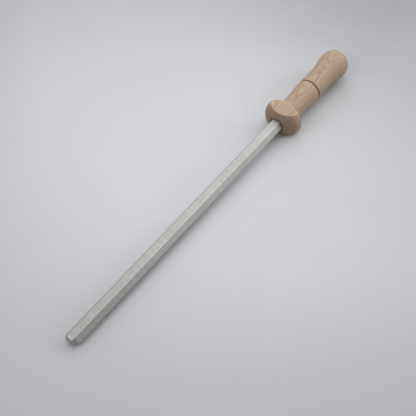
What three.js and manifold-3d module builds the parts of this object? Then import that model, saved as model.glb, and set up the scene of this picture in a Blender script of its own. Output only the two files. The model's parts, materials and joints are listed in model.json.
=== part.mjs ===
// A butcher's sharpening steel: a hexagonal steel bar whose round tang is set in resin inside a
// one-piece turned wooden handle. Millimetres, +Z up. The steel lies on a table, on the lower flat of
// the guard and on the free end of the bar, with the knob of the handle in the air.
//
// Every piece is shaped along its own axis, X. A station is a distance along that axis from the apex
// of the guard's dome: negative towards the free end of the bar, positive into the handle. The group
// that holds the pieces is then tilted so that the steel lies as described.

import * as THREE from "three";
import { mergeVertices } from "three/addons/utils/BufferGeometryUtils.js";
import Module from "manifold-3d";

const wasm = await Module();
wasm.setup();

// ---------------------------------------------------------------------------- driving dimensions

// Bar: a hexagonal section with its corners turned off and the edges of its free end rounded
const BAR_ACROSS_FLATS = 12.7;
const BAR_ACROSS_CORNERS = 14.5;
const BAR_FREE_LENGTH = 303;
const BAR_END_ROUNDING = 4.5;

// Tang: turned down from the bar, with grooves that lock it in the resin
const TANG_RADIUS = 4;
const TANG_LENGTH = 60;
const TANG_NOSE_TAPER = 1.5;
const TANG_NOSE_LENGTH = 4;
const TANG_GROOVES = 3;
const TANG_GROOVE_PITCH = 14;
const TANG_GROOVE_WIDTH = 4;
const TANG_GROOVE_DEPTH = 0.9;

// Guard: a dome towards the bar, a rounded rim, a hollow flare down to the neck and two flats
const GUARD_RADIUS = 21;
const GUARD_DOME_DEPTH = 14.8;
const GUARD_RIM_ROUNDING = 3.6;
const GUARD_FLAT_HEIGHT = 14.8; // from the axis to either flat

// Grip: places where its outline runs parallel to the axis
const NECK = { station: 29, radius: 11.6 };
const SWELL = { station: 62, radius: 13 };
const WAIST = { station: 83, radius: 12.8 };
const KNOB = { station: 111.5, radius: 15.7 };
const HANDLE_LENGTH = 125.5;

// Decorative groove turned round the swell
const GROOVE_WIDTH = 2.4;
const GROOVE_DEPTH = 1.1;

// Bores in the handle, and the gap that neighbouring pieces keep
const GAP = 0.3;
const SOCKET_RADIUS = 7.5;
const SOCKET_DEPTH = 14.3;
const BORE_RADIUS = 5.6;
const BORE_DEPTH = 79;
const DRILL_POINT_LENGTH = 3;

// Fineness of the turned and curved surfaces
const HANDLE_FACETS = 48;
const BAR_FACETS = 48;
const TANG_FACETS = 32;
const CURVE_STEPS = 5;

// --------------------------------------------------------------------------------------- materials

const steel = () => new THREE.MeshStandardMaterial({ color: 0xb2b2b0, roughness: 0.42, metalness: 0.9 });
const beech = () => new THREE.MeshStandardMaterial({ color: 0xb59a7f, roughness: 0.62, metalness: 0 });
const resin = () => new THREE.MeshStandardMaterial({ color: 0x8a6a3c, roughness: 0.5, metalness: 0 });

// ------------------------------------------------------------------------------ solids and booleans

// A closed three.js geometry as a solid that can be joined and cut.
function solidFrom(geometry) {
  const bare = geometry.clone();
  bare.deleteAttribute("normal");
  bare.deleteAttribute("uv");
  const merged = mergeVertices(bare, 1e-5);
  return new wasm.Manifold(new wasm.Mesh({
    numProp: 3,
    vertProperties: new Float32Array(merged.attributes.position.array),
    triVerts: new Uint32Array(merged.index.array),
  }));
}

// A named mesh from a solid.
function piece(name, solid, material) {
  const { vertProperties, triVerts } = solid.getMesh();
  const geometry = new THREE.BufferGeometry();
  geometry.setAttribute("position", new THREE.BufferAttribute(vertProperties, 3));
  geometry.setIndex(new THREE.BufferAttribute(triVerts, 1));
  geometry.computeVertexNormals();
  const mesh = new THREE.Mesh(geometry, material);
  mesh.name = name;
  return mesh;
}

// Turns an outline round the axis. The outline is a path of (radius, station) that starts and ends on
// the axis and runs towards the handle. The middle of a facet, not an edge, faces straight down.
function turned(outline, facets) {
  const lathe = new THREE.LatheGeometry(outline.getPoints(CURVE_STEPS), facets, Math.PI / facets);
  lathe.rotateZ(-Math.PI / 2);
  return solidFrom(lathe);
}

function pathFrom(radius, station) {
  const path = new THREE.Path();
  path.moveTo(radius, station);
  return path;
}

// ---------------------------------------------------------------------------------------------- bar

// A hexagon with level flats at top and bottom.
function hexagon() {
  const cornerRadius = BAR_ACROSS_FLATS / 2 / Math.cos(Math.PI / 6);
  const section = new THREE.Shape();
  for (let corner = 0; corner < 6; corner += 1) {
    const angle = (corner * Math.PI) / 3;
    const y = cornerRadius * Math.cos(angle);
    const z = cornerRadius * Math.sin(angle);
    if (corner === 0) section.moveTo(y, z);
    else section.lineTo(y, z);
  }
  section.closePath();
  return section;
}

// The hexagonal prism, with rounded ends. It runs past the shoulder by its own rounding.
function hexagonalPrism(shoulder) {
  const prism = new THREE.ExtrudeGeometry(hexagon(), {
    depth: BAR_FREE_LENGTH + shoulder - BAR_END_ROUNDING,
    bevelThickness: BAR_END_ROUNDING,
    bevelSize: BAR_END_ROUNDING,
    bevelOffset: -BAR_END_ROUNDING,
    bevelSegments: CURVE_STEPS,
  });
  prism.rotateX(Math.PI / 2);
  prism.rotateZ(Math.PI / 2);
  prism.translate(BAR_END_ROUNDING - BAR_FREE_LENGTH, 0, 0);
  return solidFrom(prism);
}

// The round envelope that turns off the corners, rounds them at the free end and squares the shoulder.
function barEnvelope(shoulder) {
  const radius = BAR_ACROSS_CORNERS / 2;
  const outline = pathFrom(0, -BAR_FREE_LENGTH);
  outline.lineTo(radius - BAR_END_ROUNDING, -BAR_FREE_LENGTH);
  outline.absarc(radius - BAR_END_ROUNDING, BAR_END_ROUNDING - BAR_FREE_LENGTH, BAR_END_ROUNDING,
    -Math.PI / 2, 0, false);
  outline.lineTo(radius, shoulder);
  outline.lineTo(0, shoulder);
  return turned(outline, BAR_FACETS);
}

// The tang, from a station just inside the shoulder. Grown by a gap, it is also the hollow in the resin.
function tang(start, end, gap) {
  const radius = TANG_RADIUS + gap;
  const firstGroove = end - TANG_LENGTH + TANG_GROOVE_PITCH;
  const outline = pathFrom(0, start);
  outline.lineTo(radius, start);
  for (let groove = 0; groove < TANG_GROOVES; groove += 1) {
    const middle = firstGroove + groove * TANG_GROOVE_PITCH;
    const halfWidth = TANG_GROOVE_WIDTH / 2 - gap;
    outline.lineTo(radius, middle - halfWidth);
    outline.lineTo(radius - TANG_GROOVE_DEPTH, middle - halfWidth);
    outline.lineTo(radius - TANG_GROOVE_DEPTH, middle + halfWidth);
    outline.lineTo(radius, middle + halfWidth);
  }
  outline.lineTo(radius, end - TANG_NOSE_LENGTH);
  outline.lineTo(radius - TANG_NOSE_TAPER, end + gap);
  outline.lineTo(0, end + gap);
  return turned(outline, TANG_FACETS);
}

function sharpeningRod() {
  const shoulder = SOCKET_DEPTH - GAP;
  const overlap = 1;
  const bar = hexagonalPrism(shoulder).intersect(barEnvelope(shoulder));
  return bar.add(tang(shoulder - overlap, shoulder + TANG_LENGTH, 0));
}

// ------------------------------------------------------------------------------------------- handle

// Carries an outline on to the next station in an S-shaped ramp, parallel to the axis at both ends.
function ramp(outline, to) {
  const from = outline.currentPoint;
  const lead = 0.42 * (to.station - from.y);
  outline.bezierCurveTo(from.x, from.y + lead, to.radius, to.station - lead, to.radius, to.station);
}

// Carries an outline down the hollow flare behind the rim, to the neck.
function flare(outline) {
  const from = outline.currentPoint;
  const leadOut = 3.5; // along the 45 degree slope where the rim ends, in each direction
  const leadIn = 5; // parallel to the axis, ahead of the neck
  outline.bezierCurveTo(from.x - leadOut, from.y + leadOut, NECK.radius, NECK.station - leadIn,
    NECK.radius, NECK.station);
}

function handleBlank() {
  const halfGroove = GROOVE_WIDTH / 2;
  const rimCentre = GUARD_RADIUS - GUARD_RIM_ROUNDING;
  const outline = pathFrom(0, 0);
  outline.absellipse(0, GUARD_DOME_DEPTH, GUARD_RADIUS, GUARD_DOME_DEPTH, -Math.PI / 2, 0, false);
  outline.absarc(rimCentre, GUARD_DOME_DEPTH, GUARD_RIM_ROUNDING, 0, Math.PI / 4, false);
  flare(outline);
  ramp(outline, { station: SWELL.station - halfGroove, radius: SWELL.radius });
  outline.absellipse(SWELL.radius, SWELL.station, GROOVE_DEPTH, halfGroove, -Math.PI / 2, Math.PI / 2, true);
  ramp(outline, WAIST);
  ramp(outline, KNOB);
  outline.absellipse(0, KNOB.station, KNOB.radius, HANDLE_LENGTH - KNOB.station, 0, Math.PI / 2, false);
  return turned(outline, HANDLE_FACETS);
}

// The stepped hole for the bar and its tang, open at the dome and closed by the drill point.
function steppedHole() {
  const outline = pathFrom(0, -GAP);
  outline.lineTo(SOCKET_RADIUS, -GAP);
  outline.lineTo(SOCKET_RADIUS, SOCKET_DEPTH);
  outline.lineTo(BORE_RADIUS, SOCKET_DEPTH);
  outline.lineTo(BORE_RADIUS, BORE_DEPTH);
  outline.lineTo(0, BORE_DEPTH + DRILL_POINT_LENGTH);
  return turned(outline, BAR_FACETS);
}

// What is planed off the guard above (side 1) or below (side -1) its flat.
function planedOff(side) {
  const depth = GUARD_RADIUS - GUARD_FLAT_HEIGHT + 1;
  const box = new THREE.BoxGeometry(NECK.station, 2 * GUARD_RADIUS + 2, depth);
  box.translate(NECK.station / 2, 0, side * (GUARD_FLAT_HEIGHT + depth / 2));
  return solidFrom(box);
}

function handle() {
  return handleBlank().subtract(steppedHole()).subtract(planedOff(1)).subtract(planedOff(-1));
}

// -------------------------------------------------------------------------------------------- resin

// The cured resin: it fills the bore round the tang, from just behind the shoulder to the drill point.
function resinSleeve() {
  const start = SOCKET_DEPTH + GAP;
  const end = BORE_DEPTH - GAP;
  const radius = BORE_RADIUS - GAP;
  const outline = pathFrom(0, start);
  outline.lineTo(radius, start);
  outline.lineTo(radius, end);
  outline.lineTo(0, end);
  const tangEnd = SOCKET_DEPTH - GAP + TANG_LENGTH;
  return turned(outline, TANG_FACETS).subtract(tang(start - 1, tangEnd, GAP));
}

// ------------------------------------------------------------------------------------------ assembly

// The steel touches the table with the front of the guard's lower flat and with the edge where the
// lower flat of the bar meets its rounded end.
function restingTilt() {
  const radiusToFacet = GUARD_RADIUS * Math.cos(Math.PI / HANDLE_FACETS);
  const flatFront = GUARD_DOME_DEPTH * (1 - Math.sqrt(1 - (GUARD_FLAT_HEIGHT / radiusToFacet) ** 2));
  const barContact = BAR_END_ROUNDING - BAR_FREE_LENGTH;
  return Math.atan2(GUARD_FLAT_HEIGHT - BAR_ACROSS_FLATS / 2, flatFront - barContact);
}

const tilted = new THREE.Group();
tilted.add(piece("sharpening_rod", sharpeningRod(), steel()));
tilted.add(piece("handle", handle(), beech()));
tilted.add(piece("resin_sleeve", resinSleeve(), resin()));
tilted.rotation.y = -restingTilt();

// The origin is the centre of the steel's box, on the table.
const box = new THREE.Box3().setFromObject(tilted, true);
tilted.position.set(-(box.min.x + box.max.x) / 2, 0, -box.min.z);

const sharpeningSteel = new THREE.Group();
sharpeningSteel.add(tilted);

export default sharpeningSteel;
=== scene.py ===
# A sharpening steel on a pale floor: the looks of its bar, its turned handle and its resin sleeve.
# Shapes are laid out in millimetres along the steel's own axis, as in the CAD model. A station is a
# distance along the axis from the apex of the guard's dome: negative on the bar, positive in the handle.
import json
import math

import bmesh
import bpy
from mathutils import Matrix, Vector


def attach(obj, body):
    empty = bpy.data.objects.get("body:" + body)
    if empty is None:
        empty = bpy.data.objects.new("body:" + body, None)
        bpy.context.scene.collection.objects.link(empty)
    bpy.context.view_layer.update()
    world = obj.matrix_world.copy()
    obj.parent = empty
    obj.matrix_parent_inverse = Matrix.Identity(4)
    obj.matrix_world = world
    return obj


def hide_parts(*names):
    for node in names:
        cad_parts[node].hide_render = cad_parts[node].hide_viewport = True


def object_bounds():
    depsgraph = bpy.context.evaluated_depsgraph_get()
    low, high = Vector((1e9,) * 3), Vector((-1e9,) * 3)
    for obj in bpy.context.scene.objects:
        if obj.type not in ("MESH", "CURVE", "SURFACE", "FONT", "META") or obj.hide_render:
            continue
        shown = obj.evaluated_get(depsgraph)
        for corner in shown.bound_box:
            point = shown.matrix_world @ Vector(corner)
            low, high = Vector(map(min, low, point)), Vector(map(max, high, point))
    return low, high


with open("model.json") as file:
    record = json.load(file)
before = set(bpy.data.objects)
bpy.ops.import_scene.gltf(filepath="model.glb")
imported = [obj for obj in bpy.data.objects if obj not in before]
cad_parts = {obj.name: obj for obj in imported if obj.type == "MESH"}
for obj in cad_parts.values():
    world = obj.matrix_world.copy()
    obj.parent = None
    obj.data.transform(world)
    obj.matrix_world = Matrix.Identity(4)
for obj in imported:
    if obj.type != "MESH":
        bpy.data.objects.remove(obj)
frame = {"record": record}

CAD_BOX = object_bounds()
MM = 0.001

# ------------------------------------------------------------------------------- driving dimensions

# Bar
BAR_APOTHEM = 6.35
BAR_CORNER_RADIUS = 7.25
BAR_CORNER_SOFTNESS = 0.3
BAR_FREE_LENGTH = 303
BAR_END_ROUNDING = 4.5
BAR_SHOULDER = 14.0

# Tang
TANG_RADIUS = 4
TANG_END = 74.0
TANG_NOSE_TAPER = 1.5
TANG_NOSE_LENGTH = 4
TANG_GROOVES = 3
TANG_GROOVE_PITCH = 14
TANG_GROOVE_WIDTH = 4
TANG_GROOVE_DEPTH = 0.9

# Handle
GUARD_RADIUS = 21
GUARD_DOME_DEPTH = 14.8
GUARD_RIM_ROUNDING = 3.6
GUARD_BACK_LEAD = 3.5
FLAT_ARRIS_SOFTNESS = 0.7
NECK = (29, 11.6)  # station and radius, here and below
NECK_LEAD = 5
RAMP_LEAD = 0.42  # part of a ramp's length that leads off along the axis
SWELL = (62, 13)
WAIST = (83, 12.8)
KNOB = (111.5, 15.7)
HANDLE_LENGTH = 125.5
GROOVE_WIDTH = 2.4
GROOVE_DEPTH = 1.1

# Bores and resin
SOCKET_RADIUS = 7.5
SOCKET_DEPTH = 14.3
SOCKET_LIP = 0.5
BORE_RADIUS = 5.6
BORE_DEPTH = 79
DRILL_POINT_LENGTH = 3
RESIN_DIP = 0.25
RESIN_END_TAPER = 0.6
GAP = 0.3

# Fineness
HANDLE_SIDES = 288
BAR_SIDES = 144
RESIN_SIDES = 96


# ------------------------------------------------------------------------------------ steel's own axis

FLAT_MOUNT_STATION = 14


def axis_frame():
    """The matrix from the steel's own axes (station, across, up) to the row frame, and the height of
    the guard's flats above the axis in millimetres."""
    places = {mount["name"]: Vector(mount["pos_m"]) for mount in frame["record"]["mounts"]}
    upper = places["guard_flat_upper"]
    lower = places["guard_flat_lower"]
    up = (upper - lower).normalized()
    along = Vector((up.z, 0, -up.x))
    across = up.cross(along)
    apex = (upper + lower) / 2 - along * FLAT_MOUNT_STATION * MM
    turn = Matrix((along, across, up)).transposed().to_4x4()
    return Matrix.Translation(apex) @ turn, (upper - lower).length / 2 / MM


AXIS, FLAT_HEIGHT = axis_frame()


# ----------------------------------------------------------------------------------------- outlines

def arc(centre, radii, start, end, steps):
    """Points (station, radius) on an ellipse round centre, from angle start to end in degrees, where 0
    points away from the axis and 90 towards the knob. The first point is left out."""
    points = []
    for step in range(1, steps + 1):
        angle = math.radians(start + (end - start) * step / steps)
        station = centre[0] + radii[0] * math.sin(angle)
        points.append((station, centre[1] + radii[1] * math.cos(angle)))
    return points


def curve(start, lead_out, lead_in, end, steps):
    """Points on a cubic Bezier curve, without the first."""
    controls = (start, lead_out, lead_in, end)
    points = []
    for step in range(1, steps + 1):
        t = step / steps
        weights = ((1 - t) ** 3, 3 * t * (1 - t) ** 2, 3 * t * t * (1 - t), t ** 3)
        points.append(tuple(sum(w * p[i] for w, p in zip(weights, controls)) for i in (0, 1)))
    return points


def line(start, end, steps):
    """Points on a straight line, without the first."""
    return [
        tuple(a + (b - a) * step / steps for a, b in zip(start, end))
        for step in range(1, steps + 1)
    ]


def ramp(start, end, steps):
    """An S-shaped ramp, parallel to the axis at both ends."""
    lead = RAMP_LEAD * (end[0] - start[0])
    return curve(start, (start[0] + lead, start[1]), (end[0] - lead, end[1]), end, steps)


def handle_outline():
    """The handle's outline, from the point of the bore, out of the socket and round to the knob's end.
    The last number of each call is how many steps that part has, here and in the outlines below."""
    half_groove = GROOVE_WIDTH / 2
    rim_centre = (GUARD_DOME_DEPTH, GUARD_RADIUS - GUARD_RIM_ROUNDING)
    mouth_radius = SOCKET_RADIUS + SOCKET_LIP
    mouth_angle = math.degrees(math.asin(mouth_radius / GUARD_RADIUS))
    mouth_station = GUARD_DOME_DEPTH * (1 - math.cos(math.radians(mouth_angle)))

    points = [(BORE_DEPTH + DRILL_POINT_LENGTH, 0)]
    points += line(points[-1], (BORE_DEPTH, BORE_RADIUS), 6)
    points += line(points[-1], (SOCKET_DEPTH, BORE_RADIUS), 30)
    points += line(points[-1], (SOCKET_DEPTH, SOCKET_RADIUS), 4)
    points += line(points[-1], (mouth_station + SOCKET_LIP, SOCKET_RADIUS), 16)
    lip_start = (mouth_station + 0.4 * SOCKET_LIP, SOCKET_RADIUS)
    lip_end = (mouth_station - 0.2 * SOCKET_LIP, SOCKET_RADIUS + 0.3 * SOCKET_LIP)
    points += curve(points[-1], lip_start, lip_end, (mouth_station, mouth_radius), 6)
    points += arc((GUARD_DOME_DEPTH, 0), (GUARD_DOME_DEPTH, GUARD_RADIUS), mouth_angle - 90, 0, 64)
    points += arc(rim_centre, (GUARD_RIM_ROUNDING, GUARD_RIM_ROUNDING), 0, 45, 10)
    rim_end = points[-1]
    guard_back = (rim_end[0] + GUARD_BACK_LEAD, rim_end[1] - GUARD_BACK_LEAD)
    points += curve(rim_end, guard_back, (NECK[0] - NECK_LEAD, NECK[1]), NECK, 40)
    points += ramp(NECK, (SWELL[0] - half_groove, SWELL[1]), 44)
    points += arc(SWELL, (half_groove, -GROOVE_DEPTH), -90, 90, 16)
    points += ramp(points[-1], WAIST, 28)
    points += ramp(WAIST, KNOB, 40)
    points += arc((KNOB[0], 0), (HANDLE_LENGTH - KNOB[0], KNOB[1]), 0, 90, 40)
    return points


# ------------------------------------------------------------------------------------------- meshes

ON_AXIS = 1e-6


def swept(name, outline, sides, section=None):
    """A closed mesh round the axis. The outline is a list of (station, radius) that starts and ends on
    the axis. For a piece that isn't round, section(angle, station, radius) gives the reach at an
    angle."""
    mesh = bmesh.new()
    rings = []
    for station, radius in outline:
        if radius < ON_AXIS:
            rings.append([mesh.verts.new((station * MM, 0, 0))])
            continue
        ring = []
        for side in range(sides):
            angle = 2 * math.pi * side / sides
            reach = section(angle, station, radius) if section else radius
            across = reach * math.cos(angle)
            up = reach * math.sin(angle)
            ring.append(mesh.verts.new((station * MM, across * MM, up * MM)))
        rings.append(ring)
    for first, second in zip(rings, rings[1:]):
        for side in range(sides):
            after = (side + 1) % sides
            corners = (first[side % len(first)], first[after % len(first)],
                       second[after % len(second)], second[side % len(second)])
            mesh.faces.new(tuple(dict.fromkeys(corners)))
    bmesh.ops.recalc_face_normals(mesh, faces=mesh.faces)
    for face in mesh.faces:
        face.smooth = True
    data = bpy.data.meshes.new(name)
    mesh.to_mesh(data)
    mesh.free()
    piece = bpy.data.objects.new(name, data)
    bpy.context.scene.collection.objects.link(piece)
    return piece


def soft_least(a, b, softness):
    """The smaller of two numbers, rounded where they cross, and how near they are to crossing."""
    nearness = max(softness - abs(a - b), 0) / softness
    return min(a, b) - nearness * nearness * softness / 4, nearness


def mark(piece, name, values):
    """Stores one number for each vertex, for the piece's material."""
    attribute = piece.data.attributes.new(name, "FLOAT", "POINT")
    attribute.data.foreach_set("value", values)


def stand(piece, crease_degrees):
    """Moves a piece from the steel's own axes to its place, with its shading split at sharp edges."""
    piece.data.set_sharp_from_angle(angle=math.radians(crease_degrees))
    piece.data.transform(AXIS)
    return piece


def handle_piece():
    piece = swept("turned_handle", handle_outline(), HANDLE_SIDES)
    arris = []
    for vertex in piece.data.vertices:
        station, _, z = (value / MM for value in vertex.co)
        nearness = 0
        if station < NECK[0]:
            height, nearness = soft_least(abs(z), FLAT_HEIGHT, FLAT_ARRIS_SOFTNESS)
            vertex.co.z = math.copysign(height, z) * MM
        arris.append(nearness)
    mark(piece, "arris", arris)
    return stand(piece, crease_degrees=50)


def tang_grooves():
    """The stations of the middles of the tang's grooves."""
    return [BAR_SHOULDER + TANG_GROOVE_PITCH * number for number in range(1, TANG_GROOVES + 1)]


def bar_outline():
    """The bar's outline at its corners, and the tang's, from the free end to the end of the tang."""
    inner = BAR_CORNER_RADIUS - BAR_END_ROUNDING
    end = -BAR_FREE_LENGTH
    points = [(end, 0), (end, inner / 2), (end, inner)]
    points += arc((end + BAR_END_ROUNDING, inner), (BAR_END_ROUNDING, BAR_END_ROUNDING), -90, 0, 12)
    points += line(points[-1], (BAR_SHOULDER, BAR_CORNER_RADIUS), 160)
    points += line(points[-1], (BAR_SHOULDER, TANG_RADIUS), 3)
    half = TANG_GROOVE_WIDTH / 2
    groove_floor = TANG_RADIUS - TANG_GROOVE_DEPTH
    for middle in tang_grooves():
        points += line(points[-1], (middle - half, TANG_RADIUS), 4)
        points += line(points[-1], (middle - half, groove_floor), 2)
        points += line(points[-1], (middle + half, groove_floor), 4)
        points += line(points[-1], (middle + half, TANG_RADIUS), 2)
    points += line(points[-1], (TANG_END - TANG_NOSE_LENGTH, TANG_RADIUS), 4)
    points += line(points[-1], (TANG_END, TANG_RADIUS - TANG_NOSE_TAPER), 4)
    points.append((TANG_END, 0))
    return points


SIXTH_TURN = math.radians(60)
ROUND_UP_TO = TANG_RADIUS + 0.01  # the tang's radius, with room for rounding errors
LEAST_REACH = 0.02  # keeps the innermost ring of the free end open


def hexagonal(angle, station, radius):
    """The bar's reach at an angle: out to its flats or to its rounded corners. The rounding of the free
    end follows the flats, and the tang is round."""
    if radius <= ROUND_UP_TO and station > 0:
        return radius
    inset = BAR_CORNER_RADIUS - radius
    from_flat = (angle - SIXTH_TURN / 2) % SIXTH_TURN
    from_flat = min(from_flat, SIXTH_TURN - from_flat)
    to_flat = (BAR_APOTHEM - inset) / math.cos(from_flat)
    reach, _ = soft_least(to_flat, radius, BAR_CORNER_SOFTNESS)
    return max(reach, LEAST_REACH)


def bar_piece():
    piece = swept("hexagonal_bar", bar_outline(), BAR_SIDES, hexagonal)
    corner = []
    for vertex in piece.data.vertices:
        past_flat = vertex.co.yz.length / MM - BAR_APOTHEM
        corner.append(max(0, min(1, past_flat / (BAR_CORNER_RADIUS - BAR_APOTHEM))))
    mark(piece, "corner", corner)
    return stand(piece, crease_degrees=50)


def resin_outline():
    """A sleeve: out along the bore and back round the tang, both ends on the axis at the far end."""
    start = SOCKET_DEPTH + GAP
    end = BORE_DEPTH - GAP
    outer = BORE_RADIUS - GAP
    hollow = TANG_RADIUS + GAP
    points = [(TANG_END + GAP, 0), (TANG_END + GAP, hollow - TANG_NOSE_TAPER)]
    points += line(points[-1], (TANG_END - TANG_NOSE_LENGTH, hollow), 4)
    half = TANG_GROOVE_WIDTH / 2 - GAP
    for middle in reversed(tang_grooves()):
        points += line(points[-1], (middle + half, hollow), 4)
        points += line(points[-1], (middle + half, hollow - TANG_GROOVE_DEPTH), 2)
        points += line(points[-1], (middle - half, hollow - TANG_GROOVE_DEPTH), 4)
        points += line(points[-1], (middle - half, hollow), 2)
    points += line(points[-1], (start, hollow), 4)
    points += line(points[-1], (start + RESIN_DIP, (hollow + outer) / 2), 3)
    points += line(points[-1], (start, outer), 3)
    points += line(points[-1], (end - RESIN_END_TAPER, outer), 40)
    points += line(points[-1], (end, outer - RESIN_END_TAPER), 2)
    points.append((end, 0))
    return points


def resin_piece():
    return stand(swept("resin_core", resin_outline(), RESIN_SIDES), crease_degrees=40)


# ---------------------------------------------------------------------------------------- materials

# The Mix node's sockets for colours
MIX_A = 6
MIX_B = 7
MIX_RESULT = 2


class Nodes:
    """Short calls for the nodes of one node tree."""

    def __init__(self, tree):
        self.tree = tree

    def add(self, kind):
        return self.tree.nodes.new("ShaderNode" + kind)

    def put(self, socket, value):
        if isinstance(value, bpy.types.NodeSocket):
            self.tree.links.new(value, socket)
        else:
            socket.default_value = value

    def vector(self, operation, a, b=None):
        node = self.add("VectorMath")
        node.operation = operation
        self.put(node.inputs[0], a)
        if b is not None:
            self.put(node.inputs[1], b)
        gives_number = operation in ("LENGTH", "DISTANCE", "DOT_PRODUCT")
        return node.outputs["Value" if gives_number else "Vector"]

    def math(self, operation, a, b=0.0, c=0.0, clamp=False):
        node = self.add("Math")
        node.operation = operation
        node.use_clamp = clamp
        for socket, value in zip(node.inputs, (a, b, c)):
            self.put(socket, value)
        return node.outputs[0]

    def scaled(self, value, times, plus=0.0, clamp=False):
        return self.math("MULTIPLY_ADD", value, times, plus, clamp)

    def axes(self, position):
        node = self.add("SeparateXYZ")
        self.put(node.inputs[0], position)
        return node.outputs

    def join(self, x, y, z):
        node = self.add("CombineXYZ")
        for socket, value in zip(node.inputs, (x, y, z)):
            self.put(socket, value)
        return node.outputs[0]

    def steps(self, value, low, high, smooth=True):
        """0 below low, 1 above high, and a rise between them. low may be above high, for a fall."""
        node = self.add("MapRange")
        node.interpolation_type = "SMOOTHSTEP" if smooth else "LINEAR"
        self.put(node.inputs["Value"], value)
        falls = low > high
        node.inputs["From Min"].default_value = high if falls else low
        node.inputs["From Max"].default_value = low if falls else high
        node.inputs["To Min"].default_value = 1.0 if falls else 0.0
        node.inputs["To Max"].default_value = 0.0 if falls else 1.0
        return node.outputs["Result"]

    def blend(self, factor, a, b, how="MIX"):
        node = self.add("Mix")
        node.data_type = "RGBA"
        node.blend_type = how
        self.put(node.inputs["Factor"], factor)
        for socket, value in ((MIX_A, a), (MIX_B, b)):
            self.put(node.inputs[socket], (*value, 1.0) if isinstance(value, tuple) else value)
        return node.outputs[MIX_RESULT]

    def shaded(self, colour, tone):
        """A colour made lighter or darker by a number."""
        return self.blend(1.0, colour, self.join(tone, tone, tone), "MULTIPLY")

    def stained(self, colour, stain, where, strength):
        """A colour with a stain laid over it, where a mask is 1."""
        return self.blend(self.scaled(where, strength), colour, stain)


class Shader(Nodes):
    """A material with one Principled shader. Positions are in millimetres along the steel's own axes:
    station, across, up."""

    def __init__(self, name):
        self.material = bpy.data.materials.new(name)
        self.material.use_nodes = True
        super().__init__(self.material.node_tree)
        self.surface = self.tree.nodes["Principled BSDF"]
        coordinates = self.add("TexCoord")
        to_axis = self.add("Mapping")
        to_axis.vector_type = "TEXTURE"
        to_axis.inputs["Location"].default_value = AXIS.translation
        to_axis.inputs["Rotation"].default_value = AXIS.to_euler()
        to_axis.inputs["Scale"].default_value = (MM, MM, MM)
        self.put(to_axis.inputs["Vector"], coordinates.outputs["Object"])
        self.normal = coordinates.outputs["Normal"]
        self.position = to_axis.outputs["Vector"]

    def noise(self, per_mm, detail=2.0, roughness=0.5, position=None):
        """Noise from 0 to 1, with so many features for each millimetre along x, y and z."""
        node = self.add("TexNoise")
        node.noise_dimensions = "3D"
        scaled = self.vector("MULTIPLY", self.position if position is None else position, per_mm)
        self.put(node.inputs["Vector"], scaled)
        node.inputs["Scale"].default_value = 1.0
        node.inputs["Detail"].default_value = detail
        node.inputs["Roughness"].default_value = roughness
        return node.outputs["Fac"]

    def attribute(self, name):
        node = self.add("Attribute")
        node.attribute_name = name
        return node.outputs["Fac"]

    def bump(self, height, distance, below=None):
        """Bump from a height that runs from 0 to 1, worth distance millimetres."""
        node = self.add("Bump")
        node.inputs["Distance"].default_value = distance * MM
        self.put(node.inputs["Height"], height)
        if below is not None:
            self.put(node.inputs["Normal"], below)
        return node.outputs["Normal"]

    def finish(self, **sockets):
        for name, value in sockets.items():
            self.put(self.surface.inputs[name.replace("_", " ")], value)
        return self.material


BEECH_LIGHT = (0.452, 0.346, 0.245)
BEECH_PINK = (0.446, 0.328, 0.234)
BEECH_DARK = (0.335, 0.215, 0.135)
BEECH_FLECK = (0.22, 0.125, 0.07)
BEECH_END_GRAIN = (0.61, 0.60, 0.59)  # multiplies the colour of wood cut across the grain
BEECH_RUBBED_AND_HIGHLIGHT = (0.68, 0.525, 0.395)
GROOVE_BURN = (0.235, 0.135, 0.075)
RING_PITCH = 1.3
RING_SLOPE = (WAIST[1] - NECK[1]) / (WAIST[0] - NECK[0])  # one dark line runs through the top of both
RING_WAVE = 0.8
RING_RIPPLE = 0.35
PITH_DEPTH = 150  # below the axis, so that the rings lie almost level
LATE_WOOD_PEAK = 0.88  # how far through a ring the wood is darkest
FAINT_LINES = 3  # in each ring
FAINT_LINE_STRENGTH = 0.22


def dark_lines(wood, count):
    """Late wood: a dark line that builds up through each ring and ends sharply, some more than others."""
    phase = wood.math("FRACT", count)
    slow_rise = wood.scaled(wood.steps(phase, 0.1, 0.8), 0.35)
    line_shape = wood.scaled(wood.steps(phase, 0.62, LATE_WOOD_PEAK), 0.65, slow_rise)
    line_shape = wood.math("MULTIPLY", line_shape, wood.steps(phase, 1.0, 0.93))
    ring = wood.join(0.0, 0.0, wood.math("FLOOR", count))
    strength = wood.noise((0.0, 0.0, 0.83), detail=0.0, position=ring)
    return wood.math("MULTIPLY", line_shape, wood.scaled(strength, 1.0, 0.35), clamp=True)


def growth_rings(wood):
    """Nearly level shells, a little wavy. A dark line runs through the tops of the neck and the waist, so
    that they draw the pointed figures of flat-sawn wood."""
    x, y, z = wood.axes(wood.position)
    wave = wood.noise((0.014, 0.05, 0.05), detail=1.0)
    ripple = wood.noise((0.07, 0.35, 0.35), detail=2.0)
    from_pith = wood.vector("LENGTH", wood.join(0.0, y, wood.math("ADD", z, PITH_DEPTH)))
    level_at_apex = PITH_DEPTH + NECK[1] - RING_SLOPE * NECK[0]
    depth = wood.scaled(x, -RING_SLOPE, wood.math("SUBTRACT", from_pith, level_at_apex))
    depth = wood.scaled(wood.math("SUBTRACT", wave, 0.5), RING_WAVE, depth)
    depth = wood.scaled(wood.math("SUBTRACT", ripple, 0.5), RING_RIPPLE, depth)
    count = wood.math("ADD", wood.math("DIVIDE", depth, RING_PITCH), LATE_WOOD_PEAK)
    faint = dark_lines(wood, wood.math("MULTIPLY", count, FAINT_LINES))
    return wood.scaled(faint, FAINT_LINE_STRENGTH, dark_lines(wood, count), clamp=True)


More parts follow.
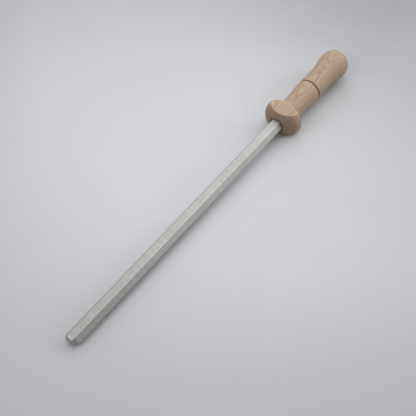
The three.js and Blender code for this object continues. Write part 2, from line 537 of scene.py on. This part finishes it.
def beech_material():
    wood = Shader("beech")
    x, y, z = wood.axes(wood.position)
    facing_along, facing_across, facing_up = (
        wood.math("ABSOLUTE", part) for part in wood.axes(wood.normal)
    )
    late = growth_rings(wood)

    # Fibres, streaks and pores along the grain, and rays that run across it
    fibre = wood.noise((0.05, 3.6, 3.6), detail=3.0, roughness=0.65)
    streaks = wood.noise((0.1, 1.2, 1.2), detail=2.0, roughness=0.6)
    pores = wood.steps(wood.noise((0.45, 7.0, 7.0), detail=1.0), 0.60, 0.72)
    rays = wood.steps(wood.noise((0.36, 2.6, 0.16), detail=1.0), 0.64, 0.71)

    # Wood cut across the grain, on the dome and the knob's end, is darker, with clearer rings and pores
    end_grain = wood.steps(facing_along, 0.35, 0.95)
    sawn_across = wood.steps(facing_along, 0.2, 0.55)
    end_pores = wood.steps(wood.noise((1.0, 5.0, 5.0), detail=1.0), 0.58, 0.70)

    # Marks of the turning: fine rings round the axis, on the side and on the dome alike
    radius = wood.vector("LENGTH", wood.join(0.0, y, z))
    turned = wood.join(x, radius, 0.0)
    turning = wood.noise((2.4, 2.4, 0.0), detail=3.0, roughness=0.7, position=turned)

    colour = wood.blend(wood.noise((0.03, 0.06, 0.06), detail=2.0), BEECH_LIGHT, BEECH_PINK)
    colour = wood.stained(colour, BEECH_DARK, late, 0.85)
    end_shade = wood.math("MULTIPLY", end_grain, wood.scaled(turning, 0.7, 0.4), clamp=True)
    colour = wood.blend(end_shade, colour, BEECH_END_GRAIN, "MULTIPLY")
    colour = wood.shaded(colour, wood.scaled(wood.math("MULTIPLY", late, sawn_across), -0.55, 1.0))
    colour = wood.shaded(colour, wood.scaled(fibre, 0.84, wood.scaled(streaks, 0.5, 0.33)))
    colour = wood.stained(colour, BEECH_FLECK, rays, 0.55)
    colour = wood.stained(colour, BEECH_FLECK, pores, 0.34)
    colour = wood.stained(colour, BEECH_FLECK, wood.math("MULTIPLY", end_pores, end_grain), 0.45)

    # The flanks show the wood from its quarter, a little darker. The guard's flats are planed clean.
    flank = wood.steps(facing_across, 0.35, 0.95)
    colour = wood.shaded(colour, wood.scaled(flank, -0.14, 1.0))
    on_guard = wood.steps(x, NECK[0] + 2, NECK[0] - 2)
    planed = wood.math("MULTIPLY", wood.steps(facing_up, 0.985, 0.998), on_guard)
    colour = wood.stained(colour, BEECH_RUBBED_AND_HIGHLIGHT, planed, 0.1)

    # The arrises of the flats are rubbed pale and carry a painted highlight, and the groove is scorched
    rubbed_and_highlight = wood.scaled(wood.attribute("arris"), 0.55)
    colour = wood.blend(rubbed_and_highlight, colour, BEECH_RUBBED_AND_HIGHLIGHT)
    from_groove = wood.math("ABSOLUTE", wood.math("SUBTRACT", x, SWELL[0]))
    in_groove = wood.steps(from_groove, GROOVE_WIDTH * 0.5, GROOVE_WIDTH * 0.3)
    groove_floor = SWELL[1] - GROOVE_DEPTH
    outside = wood.steps(radius, groove_floor - 0.8, groove_floor - 0.3)
    scorch = wood.math("MULTIPLY", in_groove, outside)
    scorch = wood.math("MULTIPLY", scorch, wood.scaled(fibre, 0.3, 0.7))
    colour = wood.blend(scorch, colour, GROOVE_BURN)

    rough = wood.scaled(fibre, 0.16, 0.47)
    rough = wood.scaled(rubbed_and_highlight, -0.12, rough)
    rough = wood.scaled(end_grain, 0.12, rough)
    relief = wood.bump(turning, 0.05)
    relief = wood.bump(fibre, 0.06, relief)
    relief = wood.bump(wood.math("SUBTRACT", 1.0, wood.math("MAXIMUM", pores, rays)), 0.05, relief)
    return wood.finish(Base_Color=colour, Roughness=rough, Normal=relief, Specular_IOR_Level=0.35)


STEEL_LIGHT = (0.505, 0.50, 0.48)
STEEL_DARK = (0.375, 0.37, 0.355)
STEEL_CLOUD = (0.42, 0.415, 0.39)
STEEL_POLISH_AND_HIGHLIGHT = (0.60, 0.60, 0.585)
STEEL_SAWN = (0.43, 0.425, 0.405)


def steel_material():
    steel = Shader("ground_steel")
    x, y, z = steel.axes(steel.position)
    toward_end = steel.math("MULTIPLY", steel.axes(steel.normal)[0], -1.0)

    # Grinding marks across the bar, a cloudy tone and streaks along it, and polish on its corners,
    # painted lighter: partly wear, partly a painted highlight along the ridges
    marks = steel.noise((1.7, 0.05, 0.05), detail=3.0, roughness=0.6)
    fine = steel.noise((6.0, 0.25, 0.25), detail=2.0, roughness=0.6)
    cloud = steel.noise((0.035, 0.12, 0.12), detail=3.0, roughness=0.55)
    round_bar = steel.math("MULTIPLY", steel.math("ARCTAN2", z, y), 3.0)
    streak = steel.noise((0.015, 2.2, 0.0), detail=2.0, position=steel.join(x, round_bar, 0.0))
    corner = steel.steps(steel.attribute("corner"), 0.55, 0.95)

    colour = steel.blend(steel.steps(marks, 0.3, 0.7), STEEL_LIGHT, STEEL_DARK)
    colour = steel.stained(colour, STEEL_CLOUD, steel.steps(cloud, 0.35, 0.75), 0.4)
    colour = steel.stained(colour, STEEL_DARK, steel.steps(streak, 0.60, 0.75), 0.2)
    # the corners are painted lighter: polish, and a painted highlight along the ridges
    colour = steel.stained(colour, STEEL_POLISH_AND_HIGHLIGHT, corner, 0.15)

    # The half towards the free end is painted darker, as painted shade. The end face is left as sawn.
    painted_shade_toward_end = steel.steps(x, -BAR_FREE_LENGTH, -BAR_FREE_LENGTH / 2)
    colour = steel.shaded(colour, steel.scaled(painted_shade_toward_end, 0.14, 0.88))
    colour = steel.blend(steel.steps(toward_end, 0.93, 0.99), colour, STEEL_SAWN)

    rough = steel.scaled(marks, 0.16, 0.42)
    rough = steel.scaled(cloud, 0.08, rough)
    rough = steel.scaled(corner, -0.04, rough)
    relief = steel.bump(marks, 0.02)
    relief = steel.bump(fine, 0.008, relief)
    return steel.finish(Base_Color=colour, Roughness=rough, Normal=relief, Metallic=1.0)


RESIN_AMBER = (0.46, 0.27, 0.09)
RESIN_BROWN = (0.30, 0.16, 0.05)
RESIN_BUBBLE = (0.62, 0.46, 0.25)


def resin_material():
    resin = Shader("cured_resin")
    cloud = resin.noise((0.12, 0.3, 0.3), detail=3.0)
    bubbles = resin.steps(resin.noise((1.6, 1.6, 1.6), detail=0.0), 0.70, 0.78)
    colour = resin.blend(cloud, RESIN_AMBER, RESIN_BROWN)
    colour = resin.stained(colour, RESIN_BUBBLE, bubbles, 0.5)
    rough = resin.scaled(cloud, 0.25, 0.25)
    relief = resin.bump(bubbles, 0.06, resin.bump(cloud, 0.1))
    return resin.finish(Base_Color=colour, Roughness=rough, Normal=relief)


# -------------------------------------------------------------------------------------- camera and set

AIM_SHIFT = Vector((-0.0374, -0.0099, 0.0))
AIM_HEIGHT = 0.015
VIEW_TURN = math.radians(37.61)
VIEW_DROP = math.radians(52.97)
VIEW_DISTANCE = 0.6849
LENS = 63.42
CLIP_START = 0.01


def view_direction():
    level = math.cos(VIEW_DROP)
    return Vector((math.cos(VIEW_TURN) * level, math.sin(VIEW_TURN) * level, -math.sin(VIEW_DROP)))


def place(name, data, position, direction):
    item = bpy.data.objects.new(name, data)
    item.location = position
    item.rotation_euler = direction.to_track_quat("-Z", "Y").to_euler()
    bpy.context.scene.collection.objects.link(item)
    return item


def camera():
    low, high = CAD_BOX
    aim = (Vector(low) + Vector(high)) / 2
    aim.z = AIM_HEIGHT
    aim += AIM_SHIFT
    data = bpy.data.cameras.new("camera")
    data.lens = LENS
    data.clip_start = CLIP_START
    forward = view_direction()
    bpy.context.scene.camera = place("camera", data, aim - forward * VIEW_DISTANCE, forward)


# Lights stand at (right, back, up), in metres as the camera sees the room, and face its middle.
LAMP_SIZE = 0.7
LAMPS = (  # name, place, watts
    ("front_left", (-0.70, -0.55, 0.70), 4.5),
    ("top", (0.0, 0.0, 1.15), 3.15),
    ("back", (0.0, 0.90, 0.70), 1.9),
    ("back_right", (0.75, 0.55, 0.70), 2.4),
)

# A broad and distant light, in watts per square metre
WINDOW_PLACE = (2.0, 0.2, 0.7)
WINDOW_STRENGTH = 0.73
WINDOW_WIDTH = math.radians(27)

# The light tent: how bright it is at its brightest towards each side
SKY_COLOUR = (0.965, 0.98, 1.0, 1.0)
SKY_LEFT = 0.30
SKY_BACK = 0.59
SKY_RIGHT = 0.46
GLOW_EDGE = -0.5  # the cosine of the angle at which a glow has faded out


def view_axes():
    """Right, back and up as the camera sees them, level and upright."""
    forward = view_direction()
    back = Vector((forward.x, forward.y, 0)).normalized()
    up = Vector((0, 0, 1))
    return back.cross(up), back, up


def light(name, kind, steps):
    """A light of a kind, at so many steps to the right, back and up, that faces the room's middle."""
    data = bpy.data.lights.new(name, kind)
    position = sum((axis * step for axis, step in zip(view_axes(), steps)), Vector())
    place(name, data, position, -position)
    return data


def lights():
    for name, steps, watts in LAMPS:
        lamp = light(name, "AREA", steps)
        lamp.size = LAMP_SIZE
        lamp.energy = watts
    window = light("window", "SUN", WINDOW_PLACE)
    window.energy = WINDOW_STRENGTH
    window.angle = WINDOW_WIDTH
    right, back, _ = view_axes()
    sky(((-right, SKY_LEFT), (back, SKY_BACK), (right, SKY_RIGHT)))
    bpy.context.scene.view_settings.view_transform = "Standard"


def sky(glows):
    """A light tent. Each glow is a direction and the strength there, which fades out all round."""
    world = bpy.data.worlds.new("light_tent")
    world.use_nodes = True
    tent = Nodes(world.node_tree)
    direction = tent.add("TexCoord").outputs["Generated"]
    strength = 0.0
    for towards, brightest in glows:
        nearness = tent.vector("DOT_PRODUCT", direction, towards)
        strength = tent.scaled(tent.steps(nearness, GLOW_EDGE, 1.0), brightest, strength)
    background = world.node_tree.nodes["Background"]
    tent.put(background.inputs["Color"], SKY_COLOUR)
    tent.put(background.inputs["Strength"], strength)
    bpy.context.scene.world = world


FLOOR_REACH = 8.0
FLOOR_LIGHT = (0.695, 0.70, 0.723)
FLOOR_MOTTLE = (0.725, 0.73, 0.753)
# The light fades over the floor: a place along the steel's own axes, two distances from it, and how much
# darker the floor is at the second than at the first, in millimetres
FLOOR_POOLS = (
    ((39, 43, -15), (34, 437), 0.49),
    ((250, 42, -15), (400, 40), 0.36),
)
FLOOR_FAR = (620, 1300)  # from here to here the floor goes back to its plain tone


def floor():
    mesh = bpy.data.meshes.new("floor")
    corners = [(x * FLOOR_REACH, y * FLOOR_REACH, 0) for x, y in ((-1, -1), (1, -1), (1, 1), (-1, 1))]
    mesh.from_pydata(corners, [], [(0, 1, 2, 3)])
    item = bpy.data.objects.new("floor", mesh)
    bpy.context.scene.collection.objects.link(item)
    paper = Shader("pale_floor")
    mottle = paper.noise((0.02, 0.02, 0.02), detail=3.0)
    plain = paper.blend(mottle, FLOOR_LIGHT, FLOOR_MOTTLE)
    colour = plain
    for centre, (inner, outer), depth in FLOOR_POOLS:
        away = paper.vector("DISTANCE", paper.position, centre)
        fade = paper.steps(away, inner, outer, smooth=False)
        colour = paper.shaded(colour, paper.scaled(fade, -depth, 1.0))
    far = paper.steps(paper.vector("LENGTH", paper.position), *FLOOR_FAR)
    colour = paper.blend(far, colour, plain)
    mesh.materials.append(paper.finish(Base_Color=colour, Roughness=0.8, Specular_IOR_Level=0.2))


# ----------------------------------------------------------------------------------------- assembly

camera()
lights()
floor()

for piece, node, slot, material in (
    (bar_piece(), "sharpening_rod", "steel", steel_material()),
    (handle_piece(), "handle", "beech", beech_material()),
    (resin_piece(), "resin_sleeve", "resin", resin_material()),
):
    piece.data.materials.append(material)
    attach(piece, "root")
    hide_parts(node)
